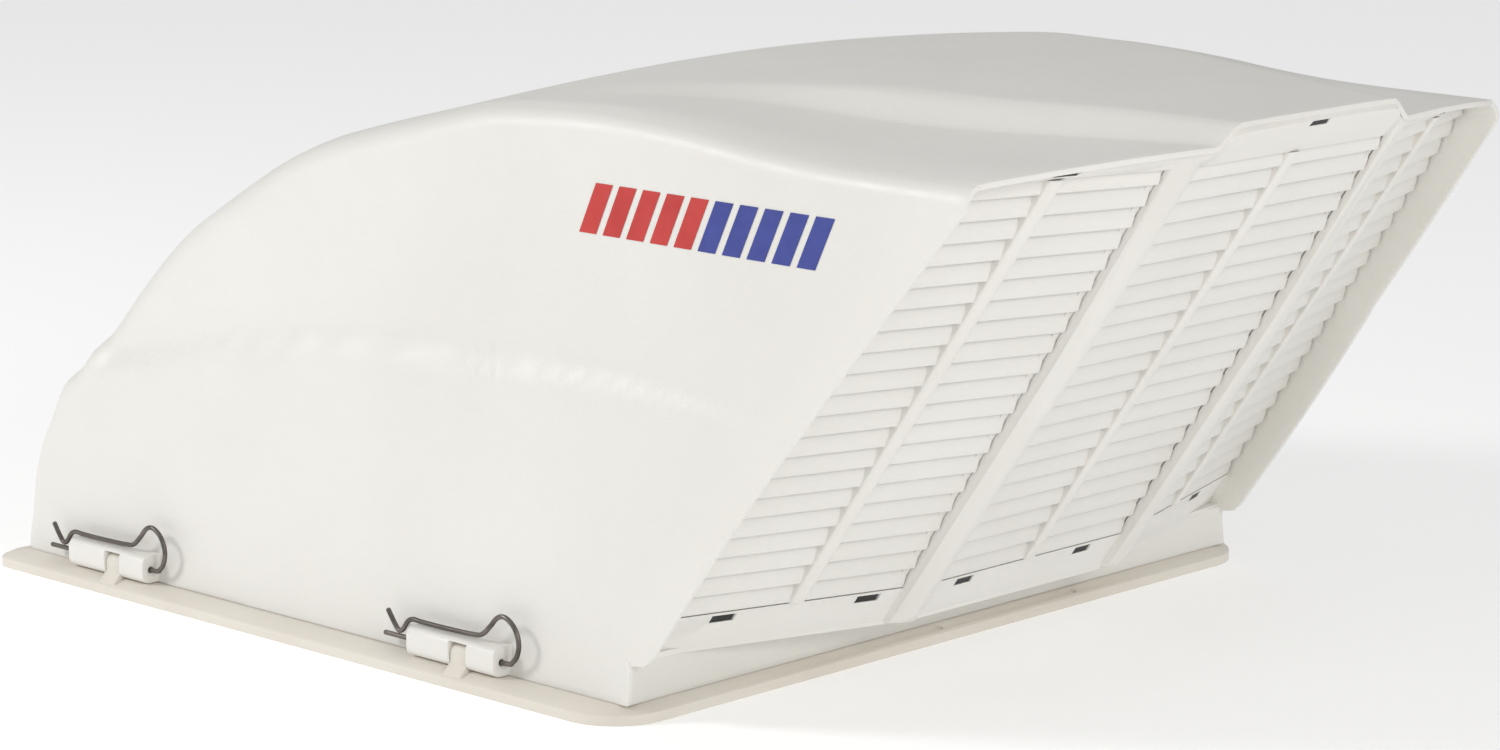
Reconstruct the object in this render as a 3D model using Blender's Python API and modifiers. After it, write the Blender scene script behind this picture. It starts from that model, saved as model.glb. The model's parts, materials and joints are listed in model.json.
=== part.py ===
"""Roof vent cover: a hinged hood on a roof flange, with louvres, insect screens and four spring clips.

Metres, +Z up. -Y is the direction of travel and +Y is the louvred rear. The hood swings about the
clips on its -X side, and its underside is open over the vent that it covers.
"""
import math

import bmesh
import bpy
from mathutils import Matrix, Vector

OBJECT_NAME = "roof_vent_cover"
SIDES = (("left", 1.0), ("right", -1.0))

# ---- Base flange -------------------------------------------------------------------------------
FLANGE_HALF_X = 0.288
FLANGE_FRONT = -0.4085
FLANGE_REAR = 0.154
FLANGE_FRONT_CORNER = 0.013
FLANGE_REAR_CORNER = 0.036
FLANGE_INNER_CORNER = 0.004
FLANGE_TOP = 0.010
CORNER_STEPS = 6
# Distance in from the outer edge, and height, going round the moulded section.
FLANGE_SECTION = (
    (0.0, 0.0), (0.0, 0.0058), (0.001, 0.0068), (0.0085, FLANGE_TOP), (0.034, FLANGE_TOP), (0.034, 0.026),
    (0.037, 0.026), (0.037, 0.003), (0.050, 0.003), (0.050, 0.0), (0.034, 0.0),
    (0.034, 0.007), (0.0095, 0.007), (0.003, 0.0045), (0.003, 0.0),
)
SCREW_HOLE = 0.0045
HOLE_DEPTH = 0.012
SIDE_SCREW_X = 0.261
SIDE_SCREW_Y = (-0.205, -0.1255, -0.046)
FRONT_SCREW_X = (-0.128, 0.0, 0.128)
FRONT_SCREW_Y = -0.3885
REAR_SCREW_X = (-0.112, 0.0125)
REAR_SCREW_Y = 0.1495

# ---- Clips, their lugs on the flange and their blocks on the hood -------------------------------
PIN_X = 0.2765
PIN_Z = 0.019
STATIONS = (("front", -0.2945), ("rear", 0.0205))
PIN_BORE = 0.0042
LUG_WIDTH = 0.014
LUG_RADIUS = 0.005
LUG_FOOT_X = 0.2868
LUG_FROM = 0.006
# How far a block reaches in front of the lug's middle, and behind it.
BLOCK_ENDS = (-0.0425, 0.0305)
BORE_LENGTH = 0.100
BLOCK_INNER_X = 0.2668
BLOCK_OUTER_X = 0.283
BLOCK_BOTTOM = 0.0108
BLOCK_TOP = 0.028
BLOCK_EDGE = 0.005
NOTCH_INNER_X = 0.2709
NOTCH_OUTER_X = 0.300
NOTCH_CEILING = 0.026
NOTCH_GAP = 0.0006
WIRE = 0.0030
CLIP_TIP = -0.0685
# Distance back from the leg's tip, and height over the leg, along the wire.
CLIP_SHAPE = (
    (0.0, 0.0), (0.035, 0.0), (0.070, 0.0), (0.1025, 0.0), (0.1085, 0.0020), (0.1125, 0.0075),
    (0.1132, 0.0150), (0.1095, 0.0225), (0.1025, 0.0268), (0.0960, 0.0255), (0.0900, 0.0195),
    (0.0840, 0.0142), (0.0770, 0.0124), (0.0520, 0.0117), (0.0320, 0.0117), (0.0250, 0.0120),
    (0.0205, 0.0100), (0.0160, 0.0045), (0.0125, 0.0034), (0.0085, 0.0072), (0.0030, 0.0147),
)

# ---- Hood --------------------------------------------------------------------------------------
SKIN = 0.003
GAP = 0.0003
HOOD_FOOT = FLANGE_TOP + GAP
TRIM_FROM = 0.006
SKIRT_REAR = 0.145
SKIRT_TOP = 0.0325
SKIRT_HALF_X = 0.268
# Where the nose, seen from the side, runs: distance along Y and height.
NOSE = (
    (-0.4020, TRIM_FROM), (-0.4040, 0.018), (-0.4025, 0.030), (-0.3975, 0.059),
    (-0.3905, 0.079), (-0.3815, 0.098), (-0.3725, 0.118), (-0.3640, 0.126), (-0.3565, 0.131),
    (-0.3485, 0.141), (-0.3325, 0.160), (-0.3045, 0.192), (-0.2705, 0.224), (-0.2355, 0.247),
    (-0.1835, 0.277), (-0.1455, 0.2925), (-0.1075, 0.3035),
)
RIDGE = (
    (-0.1455, 0.2925), (-0.1075, 0.3035), (-0.0525, 0.3170), (-0.0045, 0.3270), (0.0385, 0.3305),
    (0.0865, 0.3320), (0.1335, 0.3305), (0.1715, 0.3280), (0.2195, 0.3235), (0.2665, 0.3210),
    (0.3615, 0.3200),
)
NOSE_SHARE = 0.48
FOOT_SHARE = 0.06
CORNER_RADIUS = ((0.0, 0.014), (0.12, 0.015), (0.25, 0.024), (0.48, 0.022), (0.62, 0.014), (1.0, 0.012))
# The wall's lower edge between its ends: share of the way along the hood, distance along Y, height.
WALL_FOOT = (
    (0.50, SKIRT_REAR, TRIM_FROM), (0.53, SKIRT_REAR, SKIRT_TOP), (0.55, 0.1560, 0.0345),
    (0.57, 0.1615, 0.0395), (0.80, 0.2645, 0.181),
)
HALF_WIDTH = ((0.006, 0.2712), (0.038, 0.2662), (0.110, 0.2635), (0.181, 0.2590), (0.250, 0.2505),
              (0.320, 0.2390))
CREASE = (
    (-0.3685, 0.116), (-0.3585, 0.123), (-0.3335, 0.136), (-0.2315, 0.158), (-0.1395, 0.174),
    (-0.0515, 0.182), (0.1125, 0.188), (0.1905, 0.185), (0.2645, 0.178), (0.3615, 0.170),
)
CREASE_INSET = ((-0.400, 0.006), (-0.100, 0.006), (0.260, 0.0015))
CREASE_SOFTNESS = 0.012
BAND_BULGE = 0.003
SHOULDER_X = 0.239
REAR_EDGE = ((0.0, 0.4085), (0.070, 0.4065), (0.088, 0.4035), (SHOULDER_X, 0.3615))
CROWN = ((-0.262, 0.0), (-0.205, 0.0035), (-0.150, 0.0065), (-0.0745, 0.0085), (0.0155, 0.014),
         (0.1155, 0.014), (0.2155, 0.012), (0.4085, 0.0104))
HUMP = ((0.0155, 0.0), (0.0655, 0.0026), (0.1155, 0.005), (0.1655, 0.009), (0.2155, 0.014),
        (0.3155, 0.014), (0.4085, 0.011))
HUMP_EDGE = ((-0.0555, 0.200), (0.0355, 0.195), (0.1445, 0.158), (0.2555, 0.125), (0.3585, 0.090),
             (0.4085, 0.078))
HUMP_STEP = ((0.0155, 0.036), (0.1655, 0.024), (0.4085, 0.018))

# ---- Louvred rear ------------------------------------------------------------------------------
LOUVRE_Y = 0.2035
LOUVRE_Z = 0.054
LOUVRE_LEAN = 0.71
LOUVRE_SWEEP = 0.311
PANEL_EDGE_X = 0.088
BAND_TOP = 0.0575
TOP_BAND_BOTTOM = 0.3167
# How far the band over the louvres bulges out near its top, over the distance from the middle.
TOP_BAND_PROUD = ((0.0, 0.0060), (0.070, 0.0058), (0.171, 0.0051), (0.231, 0.0050))
TOP_BAND_SHOULDER = 0.004
TOP_BAND_STOPS = (0.035, 0.066, 0.072, 0.078, 0.084, 0.090, 0.130, 0.171, 0.205, 0.227, 0.231)
TOP_CORNER_X = 0.227
PILLAR_X = (0.087, 0.104)
PILLAR_PROUD = 0.010
PILLAR_TOP_PROUD = 0.003
PILLAR_ROUND = 0.004
PILLAR_BACK = -0.0025
SOFFIT = 0.0335
SOFFIT_HALF_X = 0.2655
SOFFIT_TURN_X = 0.2270
SOFFIT_LAP = 0.004
SLATS = 21
SLAT_PITCH = 0.0125
SLAT_FIRST = 0.058
SLAT_HEIGHT = 0.014
SLAT_LEAN = 0.006
SLAT_THICK = 0.002
MULLION = 0.009
MULLION_PROUD = 0.0025
MULLION_X = 0.1715
PANEL_DEPTH = (-0.012, -0.0033)
PANEL_Z = (0.058, 0.3163)
STILE = 0.007
RAIL = 0.0033
SLAT_INSET = 0.004
SLAT_WALL_INSET = 0.0005
WINDOW_X = {"centre": (-0.0535, 0.0535), "side": (0.124, 0.2135)}
WINDOW_WIDTH = 0.015
WINDOW_Z = (0.0513, 0.0558)
TOP_WINDOW_WIDTH = 0.016
TOP_WINDOW_Z = {"centre": (0.3325, 0.3356), "side": (0.3187, 0.3216)}
WINDOW_DEPTH = (-0.008, 0.012)

# ---- Insect screens ----------------------------------------------------------------------------
SCREEN_DEPTH = (-0.0200, -0.0135)
SCREEN_Z = (0.050, 0.3155)
SCREEN_BORDER = 0.010
MESH_DEPTH = (-0.0172, -0.0164)
TAB_CLEARANCE = 0.0005
TAB_RECESS = -0.0008
TOP_TAB_RECESS = 0.0040
TAB_ROOT = 0.004

COLOURS = {
    "hood": ((0.80, 0.79, 0.75), 0.45, 0.0),
    "louvre": ((0.82, 0.81, 0.77), 0.45, 0.0),
    "flange": ((0.78, 0.77, 0.73), 0.5, 0.0),
    "screen": ((0.012, 0.012, 0.013), 0.55, 0.0),
    "gauze": ((0.020, 0.020, 0.022), 0.7, 0.0),
    "steel": ((0.30, 0.29, 0.28), 0.35, 1.0),
}


# ---- Helpers -----------------------------------------------------------------------------------
def curve_value(knots, x):
    """The value at x of a smooth curve through knots, which are (x, value) pairs."""
    if x <= knots[0][0]:
        return knots[0][1]
    if x >= knots[-1][0]:
        return knots[-1][1]
    i = max(k for k in range(len(knots) - 1) if knots[k][0] <= x)
    before = knots[max(i - 1, 0)]
    start = knots[i]
    end = knots[i + 1]
    after = knots[min(i + 2, len(knots) - 1)]
    span = end[0] - start[0]
    t = (x - start[0]) / span
    slope_in = span * (end[1] - before[1]) / (end[0] - before[0])
    slope_out = span * (after[1] - start[1]) / (after[0] - start[0])
    return (
        (2 * t ** 3 - 3 * t ** 2 + 1) * start[1] + (t ** 3 - 2 * t ** 2 + t) * slope_in
        + (3 * t ** 2 - 2 * t ** 3) * end[1] + (t ** 3 - t ** 2) * slope_out
    )


def straight_value(knots, x):
    """The value at x of straight lines through knots, which are (x, value) pairs."""
    for (x0, v0), (x1, v1) in zip(knots, knots[1:]):
        if x <= x1:
            return v0 + (v1 - v0) * max(x - x0, 0.0) / (x1 - x0)
    return knots[-1][1]


def smooth_step(t):
    """Rise from 0 to 1 as t does."""
    t = min(max(t, 0.0), 1.0)
    return t * t * (3.0 - 2.0 * t)


def material(name):
    """A plain Principled material from the colour list."""
    colour, roughness, metallic = COLOURS[name]
    mat = bpy.data.materials.get(name) or bpy.data.materials.new(name)
    mat.use_nodes = True
    shader = mat.node_tree.nodes["Principled BSDF"]
    shader.inputs["Base Color"].default_value = (*colour, 1.0)
    shader.inputs["Roughness"].default_value = roughness
    shader.inputs["Metallic"].default_value = metallic
    return mat


def new_object(name, bm, collection):
    """Put a bmesh in the scene as an object."""
    mesh = bpy.data.meshes.new(name)
    bm.to_mesh(mesh)
    bm.free()
    obj = bpy.data.objects.new(name, mesh)
    collection.objects.link(obj)
    return obj


def loft(name, sections, collection, ring=False, open_sheet=False):
    """Skin a row of sections that have the same number of points.

    ring joins the last section to the first; open_sheet leaves the sections and the ends open.
    """
    bm = bmesh.new()
    rows = [[bm.verts.new(point) for point in section] for section in sections]
    pairs = list(zip(rows, rows[1:]))
    if ring:
        pairs.append((rows[-1], rows[0]))
    for row, after in pairs:
        size = len(row)
        for i in range(size - 1 if open_sheet else size):
            j = (i + 1) % size
            bm.faces.new((row[i], after[i], after[j], row[j]))
    if not ring and not open_sheet:
        bm.faces.new(rows[0])
        bm.faces.new(rows[-1])
    if open_sheet:
        bmesh.ops.remove_doubles(bm, verts=bm.verts, dist=0.00001)
    else:
        bmesh.ops.recalc_face_normals(bm, faces=bm.faces)
    return new_object(name, bm, collection)


def box(name, low, high, collection):
    """A box between two corners."""
    bm = bmesh.new()
    bmesh.ops.create_cube(bm, size=1.0)
    low = Vector(low)
    high = Vector(high)
    bmesh.ops.scale(bm, vec=high - low, verts=bm.verts)
    bmesh.ops.translate(bm, vec=(low + high) / 2.0, verts=bm.verts)
    return new_object(name, bm, collection)


def rod(name, centre, diameter, length, axis, collection, sides=20):
    """A cylinder along Y or Z."""
    bm = bmesh.new()
    turn = Matrix.Rotation(math.radians(90.0), 4, "X") if axis == "Y" else Matrix.Identity(4)
    bmesh.ops.create_cone(
        bm, cap_ends=True, segments=sides, radius1=diameter / 2.0, radius2=diameter / 2.0,
        depth=length, matrix=Matrix.Translation(centre) @ turn,
    )
    return new_object(name, bm, collection)


def combine(target, tools, operation):
    """Join tools to the target, or cut them from it, in one exact Boolean."""
    group = bpy.data.collections.new(f"{target.name}_{operation.lower()}")
    bpy.data.collections["cutters"].children.link(group)
    for tool in tools:
        for holder in list(tool.users_collection):
            holder.objects.unlink(tool)
        group.objects.link(tool)
        tool.hide_render = True
        tool.display_type = "WIRE"
    boolean = target.modifiers.new(operation.lower(), "BOOLEAN")
    boolean.operation = operation
    boolean.operand_type = "COLLECTION"
    boolean.collection = group
    boolean.solver = "EXACT"


def finish(obj, colour, pivot=None):
    """Give a part its material, and hang it on the empty that it swings about."""
    obj.data.materials.append(material(colour))
    if pivot is not None:
        obj.parent = pivot
        obj.location = -pivot.location
    return obj


# ---- Base flange -------------------------------------------------------------------------------
def rounded_rectangle(inset, height):
    """Points round the flange at a distance in from its outer edge."""
    front = max(FLANGE_FRONT_CORNER - inset, FLANGE_INNER_CORNER)
    rear = max(FLANGE_REAR_CORNER - inset, FLANGE_INNER_CORNER)
    half_x = FLANGE_HALF_X - inset
    corners = (
        (1.0, FLANGE_REAR - inset - rear, rear, 0), (-1.0, FLANGE_REAR - inset - rear, rear, 90),
        (-1.0, FLANGE_FRONT + inset + front, front, 180), (1.0, FLANGE_FRONT + inset + front, front, 270),
    )
    points = []
    for side, y, radius, start in corners:
        x = side * (half_x - radius)
        for i in range(CORNER_STEPS + 1):
            angle = math.radians(start + 90.0 * i / CORNER_STEPS)
            points.append((x + radius * math.cos(angle), y + radius * math.sin(angle), height))
    return points


def lug(side, y, collection):
    """The eye on the flange that a clip's leg passes through, round over the pin."""
    steps = 10
    outline = [(PIN_X - LUG_RADIUS, LUG_FROM)]
    for i in range(steps + 1):
        angle = math.pi - math.pi * i / steps
        outline.append((PIN_X + LUG_RADIUS * math.cos(angle), PIN_Z + LUG_RADIUS * math.sin(angle)))
    outline += [(PIN_X + LUG_RADIUS, 0.0135), (LUG_FOOT_X, 0.0082), (LUG_FOOT_X, LUG_FROM)]
    ends = (y - LUG_WIDTH / 2.0, y + LUG_WIDTH / 2.0)
    return loft("lug", [[(side * x, end, z) for x, z in outline] for end in ends], collection)


def base_flange(parts, cutters):
    """The flange that is screwed to the roof, with an upstand that keeps rain out."""
    flange = loft("base_flange", [rounded_rectangle(d, z) for d, z in FLANGE_SECTION], parts, ring=True)
    lugs = [lug(side, y, cutters) for _, side in SIDES for _, y in STATIONS]
    combine(flange, lugs, "UNION")
    spots = [(x, FRONT_SCREW_Y) for x in FRONT_SCREW_X]
    spots += [(x, REAR_SCREW_Y) for x in REAR_SCREW_X]
    spots += [(side * SIDE_SCREW_X, y) for _, side in SIDES for y in SIDE_SCREW_Y]
    holes = [rod("hole", (x, y, FLANGE_TOP), SCREW_HOLE, HOLE_DEPTH, "Z", cutters, 12) for x, y in spots]
    bores = [rod("bore", (side * PIN_X, y, PIN_Z), PIN_BORE, 2.0 * LUG_WIDTH, "Y", cutters)
             for _, side in SIDES for _, y in STATIONS]
    combine(flange, holes + bores, "DIFFERENCE")
    return finish(flange, "flange")


# ---- Hood --------------------------------------------------------------------------------------
def nose_path():
    """The nose as two smooth curves, Y and height, over the distance along it."""
    distance = 0.0
    along_y = [(0.0, NOSE[0][0])]
    along_z = [(0.0, NOSE[0][1])]
    for before, after in zip(NOSE, NOSE[1:]):
        distance += math.dist(before, after)
        along_y.append((distance, after[0]))
        along_z.append((distance, after[1]))
    return along_y, along_z, distance


NOSE_Y, NOSE_Z, NOSE_LENGTH = nose_path()


def corner_line(share):
    """The line where the side wall would meet the top: Y and height at a share of the way back."""
    if share < NOSE_SHARE:
        distance = NOSE_LENGTH * share / NOSE_SHARE
        return Vector((curve_value(NOSE_Y, distance), curve_value(NOSE_Z, distance)))
    y = NOSE[-1][0] + (RIDGE[-1][0] - NOSE[-1][0]) * (share - NOSE_SHARE) / (1.0 - NOSE_SHARE)
    return Vector((y, curve_value(RIDGE, y)))


def corner_normal(share):
    """The outward direction of the corner line, seen from the side."""
    step = 0.004
    along = corner_line(min(share + step, 1.0)) - corner_line(max(share - step, 0.0))
    normal = Vector((-along.y, along.x)).normalized()
    upright = Vector((-1.0, 0.0))
    return upright.lerp(normal, smooth_step(share / FOOT_SHARE)).normalized()


def half_width(y, z):
    """How far the outside of the side wall is from the middle."""
    crease = curve_value(CREASE, y)
    above = smooth_step((z - crease) / CREASE_SOFTNESS + 0.5)
    roof = max(curve_value(RIDGE, y), crease + 0.05)
    inset = curve_value(CREASE_INSET, y) * max(1.0 - (z - crease) / (roof - crease), 0.0)
    bulge = BAND_BULGE * math.sin(math.pi * min(max((z - 0.02) / (crease - 0.02), 0.0), 1.0))
    return curve_value(HALF_WIDTH, z) + bulge * (1.0 - above) - inset * above


def crown_height(x, y):
    """How much the nose and the top rise across their width."""
    return curve_value(CROWN, y) * max(1.0 - (x / SHOULDER_X) ** 2, 0.0)


def top_height(x, y):
    """The height of the top: the ridge line, a crown across it, and the raised middle."""
    x = abs(x)
    step = curve_value(HUMP_STEP, y)
    hump = curve_value(HUMP, y) * smooth_step((curve_value(HUMP_EDGE, y) + step / 2.0 - x) / step)
    return curve_value(RIDGE, y) + crown_height(x, y) + hump


def wall_top(share):
    """The upper edge of the side wall, where the round corner starts."""
    return corner_line(share) - corner_normal(share) * curve_value(CORNER_RADIUS, share)


def wall_foot(share):
    """The lower edge of the side wall, which meets its upper edge at both ends."""
    knots = [(0.0, *wall_top(0.0)), *WALL_FOOT, (1.0, *wall_top(1.0))]
    y = straight_value([(knot[0], knot[1]) for knot in knots], share)
    z = straight_value([(knot[0], knot[2]) for knot in knots], share)
    return Vector((y, z))


def hood_section(share, wall_steps, arc_steps, top_steps):
    """Points up the +X wall, round the corner and across the top to the middle."""
    corner = corner_line(share)
    normal = corner_normal(share)
    radius = curve_value(CORNER_RADIUS, share)
    foot = wall_foot(share)
    top = wall_top(share)
    points = []
    for i in range(wall_steps):
        y, z = foot.lerp(top, i / wall_steps)
        points.append((half_width(y, z), y, z))
    edge_x = half_width(*top) - radius
    back = smooth_step((share - NOSE_SHARE) / (1.0 - NOSE_SHARE))
    for i in range(arc_steps):
        angle = math.radians(90.0 * i / arc_steps)
        y, z = corner - normal * radius * (1.0 - math.sin(angle))
        points.append((edge_x + radius * math.cos(angle), y, z))
    step_x = curve_value(HUMP_EDGE, corner.x)
    half_step = curve_value(HUMP_STEP, corner.x) / 2.0
    foot_x = step_x + half_step
    head_x = step_x - half_step
    stops = ((edge_x, foot_x), (foot_x, head_x), (head_x, 0.0))
    for (start, end), steps in zip(stops, top_steps):
        for i in range(steps):
            points.append(top_point(start + (end - start) * i / steps, corner, share, back))
    points.append(top_point(0.0, corner, share, back))
    return points


def top_point(x, corner, share, back):
    """A point on the nose or the top at a distance from the middle."""
    if share <= NOSE_SHARE:
        return (x, corner.x, corner.y + crown_height(x, corner.x))
    y = corner.x + back * (straight_value(REAR_EDGE, x) - REAR_EDGE[-1][1])
    return (x, y, top_height(x, y))


def rear_point(x, depth, z):
    """A point on the louvred rear; depth is outward from its plane, along Y."""
    sweep = LOUVRE_SWEEP * max(abs(x) - PANEL_EDGE_X, 0.0)
    return (x, LOUVRE_Y + LOUVRE_LEAN * (z - LOUVRE_Z) - sweep + depth, z)


def wall_inside(z):
    """Where the side panels end, just inside the side wall and its round upper corner."""
    y = rear_point(SHOULDER_X, 0.0, z)[1]
    radius = CORNER_RADIUS[-1][1] - SKIN - 2.0 * GAP
    rise = min(max(z - (RIDGE[-1][1] - CORNER_RADIUS[-1][1]), 0.0), radius)
    round_off = radius - math.sqrt(radius ** 2 - rise ** 2)
    return half_width(y, z) - SKIN - 4.0 * GAP - round_off


def rear_bar(name, stops, section, collection):
    """A bar across the rear: one (depth, height) section, placed at each stop along X.

    A stop is a distance, or a pair of a side and a distance in from the side wall.
    """
    rows = []
    for stop in stops:
        row = []
        for depth, z in section:
            x = stop[0] * (wall_inside(z) - stop[1]) if isinstance(stop, tuple) else stop
            row.append(rear_point(x, depth, z))
        rows.append(row)
    return loft(name, rows, collection)


def slab(low_depth, high_depth, low_z, high_z):
    """A rectangular section for a rear bar."""
    return ((low_depth, low_z), (high_depth, low_z), (high_depth, high_z), (low_depth, high_z))


def top_band(collection):
    """The band over the louvres, which bulges out and goes up into the skin of the top."""
    radius = CORNER_RADIUS[-1][1]
    rows = []
    for x in (*(-stop for stop in reversed(TOP_BAND_STOPS)), 0.0, *TOP_BAND_STOPS):
        past = max(abs(x) - TOP_CORNER_X, 0.0)
        drop = radius - math.sqrt(radius ** 2 - past ** 2)
        edge = straight_value(REAR_EDGE, abs(x))
        high = top_height(x, edge) - SKIN / 2.0 - drop
        reach = edge - SKIN / 2.0 - rear_point(x, 0.0, high)[1]
        proud = straight_value(TOP_BAND_PROUD, abs(x))
        shoulder = max(high - TOP_BAND_SHOULDER, TOP_BAND_BOTTOM + TOP_BAND_SHOULDER / 4.0)
        section = ((-SKIN, TOP_BAND_BOTTOM), (0.0, TOP_BAND_BOTTOM), (proud, shoulder), (reach, high),
                   (-SKIN, high))
        rows.append([rear_point(x, depth, z) for depth, z in section])
    return loft("top_band", rows, collection)


def pillar(side, collection):
    """A rounded rib between two panels, prouder at its foot than at its top."""
    inner, outer = PILLAR_X
    rows = []
    for x, drop in ((inner, PILLAR_ROUND), (inner + PILLAR_ROUND, 0.0), (outer - PILLAR_ROUND, 0.0),
                    (outer, PILLAR_ROUND)):
        foot = PILLAR_PROUD - drop
        head = PILLAR_TOP_PROUD - 0.5 * drop
        section = ((PILLAR_BACK, 0.0350), (foot - 0.002, 0.0350), (foot, 0.040), (foot, 0.200),
                   (head, 0.3270), (PILLAR_BACK, 0.3270))
        rows.append([rear_point(side * x, depth, z) for depth, z in section])
    return loft("pillar", rows, collection)


def soffit(collection):
    """The shelf that joins the skirt's top to the foot of the louvres, whichever of them is further back."""
    high = SOFFIT + SKIN
    rows = []
    for x in (-SOFFIT_HALF_X, -SOFFIT_TURN_X, -PANEL_EDGE_X, PANEL_EDGE_X, SOFFIT_TURN_X, SOFFIT_HALF_X):
        foot = rear_point(x, 0.0, SOFFIT)[1]
        back = max(foot + SOFFIT_LAP / 2.0, SKIRT_REAR - SKIN / 2.0)
        front = min(foot - SOFFIT_LAP, SKIRT_REAR - SKIN)
        rows.append([(x, front, SOFFIT), (x, back, SOFFIT), (x, back, high), (x, front, high)])
    return loft("soffit", rows, collection)


def windows(collection):
    """Cutters for the slots that the screens' tabs snap into."""
    made = []
    for key, xs in WINDOW_X.items():
        spots = xs if key == "centre" else [side * x for x in xs for _, side in SIDES]
        tops = (0.0,) if key == "centre" else [side * MULLION_X for _, side in SIDES]
        for x in spots:
            stops = (x - WINDOW_WIDTH / 2.0, x + WINDOW_WIDTH / 2.0)
            made.append(rear_bar("window", stops, slab(*WINDOW_DEPTH, *WINDOW_Z), collection))
        for x in tops:
            stops = (x - TOP_WINDOW_WIDTH / 2.0, x + TOP_WINDOW_WIDTH / 2.0)
            made.append(rear_bar("top_window", stops, slab(*WINDOW_DEPTH, *TOP_WINDOW_Z[key]), collection))
    return made


def hinge_block(side, y, collection):
    """The boss on the hood's wall that a clip's leg passes through."""
    low = (BLOCK_INNER_X, y + BLOCK_ENDS[0], BLOCK_BOTTOM)
    high = (BLOCK_OUTER_X, y + BLOCK_ENDS[1], BLOCK_TOP)
    block = box("block", low, high, collection)
    bm = bmesh.new()
    bm.from_mesh(block.data)
    outer = [edge for edge in bm.edges if all(v.co.x > PIN_X for v in edge.verts)
             and abs(edge.verts[0].co.y - edge.verts[1].co.y) > 0.01]
    bmesh.ops.bevel(bm, geom=outer, offset=BLOCK_EDGE, segments=4, profile=0.5, affect="EDGES")
    bmesh.ops.scale(bm, vec=(side, 1.0, 1.0), verts=bm.verts)
    bmesh.ops.recalc_face_normals(bm, faces=bm.faces)
    bm.to_mesh(block.data)
    bm.free()
    return block


def notch(side, y, collection):
    """The space in a block that the flange's lug stands in."""
    half = LUG_WIDTH / 2.0 + NOTCH_GAP
    ends = sorted((side * NOTCH_INNER_X, side * NOTCH_OUTER_X))
    return box("notch", (ends[0], y - half, 0.0), (ends[1], y + half, NOTCH_CEILING), collection)


def hood_shell(pivot, parts, cutters):
    """The moulded hood, open underneath, with a frame for three louvred panels at its rear."""
    nose_rows = 16
    shares = [NOSE_SHARE * i / nose_rows for i in range(nose_rows)]
    shares += [0.48, 0.50, 0.515, 0.53, 0.55, 0.57]
    shares += [0.57 + 0.43 * i / 12 for i in range(1, 13)]
    sections = [hood_section(share, 6, 3, (1, 3, 3)) for share in shares]
    hood = loft("hood_shell", sections, parts, open_sheet=True)
    mirror = hood.modifiers.new("mirror", "MIRROR")
    mirror.merge_threshold = 0.0001
    shell = hood.modifiers.new("thickness", "SOLIDIFY")
    shell.thickness = SKIN
    shell.offset = -1.0
    shell.use_even_offset = True
    wall = (1.0, -0.0035)
    far_wall = (-1.0, -0.0035)
    skirt_low = (-SKIRT_HALF_X, SKIRT_REAR - SKIN, TRIM_FROM)
    skirt_high = (SKIRT_HALF_X, SKIRT_REAR, SOFFIT + SKIN / 2.0)
    additions = [
        box("rear_skirt", skirt_low, skirt_high, cutters),
        soffit(cutters),
        rear_bar("bottom_band", (far_wall, -PANEL_EDGE_X, PANEL_EDGE_X, wall),
                 slab(-SKIN, 0.0, SOFFIT + 0.001, BAND_TOP), cutters),
        top_band(cutters),
    ]
    additions += [pillar(side, cutters) for _, side in SIDES]
    additions += [hinge_block(side, y, cutters) for _, side in SIDES for _, y in STATIONS]
    combine(hood, additions, "UNION")
    removals = windows(cutters)
    removals.append(box("foot_trim", (-0.30, -0.42, -0.01), (0.30, SKIRT_REAR + SKIN, HOOD_FOOT), cutters))
    removals += [notch(side, y, cutters) for _, side in SIDES for _, y in STATIONS]
    removals += [rod("bore", (side * PIN_X, y, PIN_Z), PIN_BORE, BORE_LENGTH, "Y", cutters)
                 for _, side in SIDES for _, y in STATIONS]
    combine(hood, removals, "DIFFERENCE")
    return finish(hood, "hood", pivot)


# ---- Louvred panels ----------------------------------------------------------------------------
def slat_section(index):
    """A blade that leans in as it rises, so that it sheds rain past the one below."""
    low = SLAT_FIRST + SLAT_PITCH * index
    rise = min(SLAT_HEIGHT, PANEL_Z[1] - low)
    lean = SLAT_LEAN * rise / SLAT_HEIGHT
    return ((0.0, low), (-lean, low + rise), (-lean - SLAT_THICK, low + rise), (-SLAT_THICK, low))


def inset_stops(inner, outer, distance):
    """Both ends of a panel, moved in by a distance; the outer one may be a place on a side wall."""
    if isinstance(outer, tuple):
        return (inner + outer[0] * distance, (outer[0], outer[1] + distance))
    return (inner + distance, outer - distance)


def louvre_panel(name, inner, outer, mullion_x, pivot, parts, cutters):
    """A frame of rails and stiles with the blades across it; the frame hides behind the hood's."""
    low, high = PANEL_Z
    stiles = inset_stops(inner, outer, STILE)
    mullion = (mullion_x - MULLION / 2.0, mullion_x + MULLION / 2.0)
    panel = rear_bar(name, (inner, stiles[0]), slab(*PANEL_DEPTH, low, high), parts)
    bars = [
        rear_bar("stile", (stiles[1], outer), slab(*PANEL_DEPTH, low, high), cutters),
        rear_bar("rail", (inner, outer), slab(*PANEL_DEPTH, low, low + RAIL), cutters),
        rear_bar("rail", (inner, outer), slab(*PANEL_DEPTH, high - RAIL, high), cutters),
        rear_bar("mullion", mullion, slab(PANEL_DEPTH[0], MULLION_PROUD, low, high), cutters),
    ]
    far_inset = SLAT_WALL_INSET if isinstance(outer, tuple) else SLAT_INSET
    blade = (inset_stops(inner, outer, SLAT_INSET)[0], inset_stops(inner, outer, far_inset)[1])
    bars += [rear_bar("slat", blade, slat_section(index), cutters) for index in range(SLATS)]
    combine(panel, bars, "UNION")
    return finish(panel, "louvre", pivot)


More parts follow.
